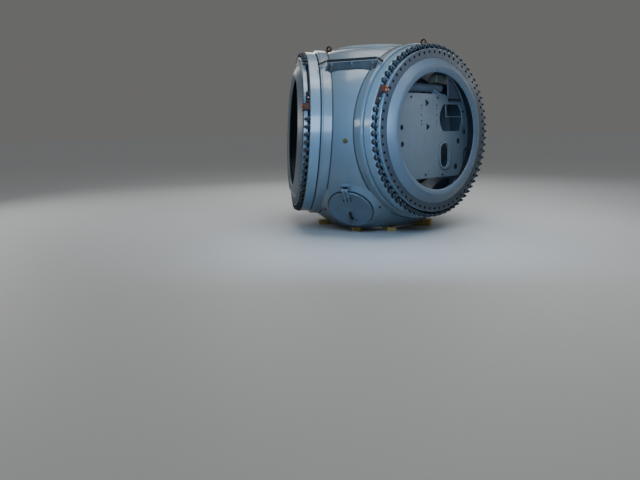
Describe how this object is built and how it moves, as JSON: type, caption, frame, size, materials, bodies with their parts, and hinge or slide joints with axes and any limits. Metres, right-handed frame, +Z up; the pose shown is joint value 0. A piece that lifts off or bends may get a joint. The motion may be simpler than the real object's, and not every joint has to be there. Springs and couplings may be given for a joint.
{
  "type": "wind turbine rotor hub",
  "caption": "Cast wind turbine rotor hub standing nose up on timber blocks, with blade bearings, dished cover plates, pitch plates, hinged hatches, seal strips and lifting eyes.",
  "frame": {"origin": "on the floor under the middle of the object's box, a little in front of the rotor axis, which stands at x = 0, y = 0.155 m", "axes": "+Z up along the rotor axis to the nose, -Y towards the front web with the opening hatch, +X to the right of it"},
  "size_m": [3.6118, 3.243, 2.992],
  "materials": {
    "casting_paint": "satin grey-blue paint on cast iron",
    "bearing_paint": "satin grey-blue paint on the fixed bearing ring",
    "bearing_steel": "dark, machined, lightly oiled steel",
    "cover_paint": "light blue-grey satin paint",
    "plate_paint": "grey satin paint, a little brown",
    "nose_paint": "light bluish satin paint",
    "rubber": "matte black rubber",
    "dark_steel": "dark grey steel, dull",
    "box_paint": "pale beige paint, matte",
    "rusty_steel": "rusty brown steel",
    "timber": "yellow-stained softwood"
  },
  "bodies": {
    "hub": {"hub_casting": "casting_paint", "nose_flange": "nose_paint", "outer_ring_right": "bearing_paint", "lock_bracket_right": "rusty_steel", "outer_ring_left": "bearing_paint", "lock_bracket_left": "rusty_steel", "outer_ring_back": "bearing_paint", "lock_bracket_back": "rusty_steel", "hatch_seal_front": "rubber", "hatch_hinge_front": "cover_paint", "seal_rail_front": "nose_paint", "seal_strip_front": "rubber", "hatch_cover_rear_right": "cover_paint", "hatch_seal_rear_right": "rubber", "hatch_hinge_rear_right": "cover_paint", "seal_rail_rear_right": "nose_paint", "seal_strip_rear_right": "rubber", "hatch_cover_rear_left": "cover_paint", "hatch_seal_rear_left": "rubber", "hatch_hinge_rear_left": "cover_paint", "seal_rail_rear_left": "nose_paint", "seal_strip_rear_left": "rubber", "lifting_eye_left": "rusty_steel", "lifting_eye_right": "rusty_steel", "timber_block_1": "timber", "timber_block_2": "timber", "timber_block_3": "timber", "timber_block_4": "timber", "timber_block_5": "timber", "timber_block_6": "timber", "timber_block_7": "timber"},
    "pitch_right": {"inner_ring_right": "bearing_steel", "dished_plate_right": "cover_paint", "pitch_plate_right": "plate_paint", "plate_beam_right": "dark_steel", "beam_box_right": "box_paint"},
    "pitch_left": {"inner_ring_left": "bearing_steel", "dished_plate_left": "cover_paint", "pitch_plate_left": "plate_paint", "plate_beam_left": "dark_steel", "beam_box_left": "box_paint"},
    "pitch_back": {"inner_ring_back": "bearing_steel", "dished_plate_back": "cover_paint", "pitch_plate_back": "plate_paint", "plate_beam_back": "dark_steel", "beam_box_back": "box_paint"},
    "front_hatch": {"hatch_cover_front": "cover_paint"}
  },
  "joints": [
    {"name": "pitch_right", "type": "hinge", "parent": "hub", "child": "pitch_right", "pos_m": [0, 0.1551, 1.477], "axis": [0.8648, -0.4993, 0.0534], "range_deg": [0, 90]},
    {"name": "pitch_left", "type": "hinge", "parent": "hub", "child": "pitch_left", "pos_m": [0, 0.1551, 1.477], "axis": [-0.8648, -0.4993, 0.0534], "range_deg": [0, 90]},
    {"name": "pitch_back", "type": "hinge", "parent": "hub", "child": "pitch_back", "pos_m": [0, 0.1551, 1.477], "axis": [0, 0.9986, 0.0534], "range_deg": [0, 90]},
    {"name": "front_hatch_hinge", "type": "hinge", "parent": "hub", "child": "front_hatch", "pos_m": [0, -1.3898, 0.72399], "axis": [-1, 0, 0], "range_deg": [0, 90]}
  ]
}
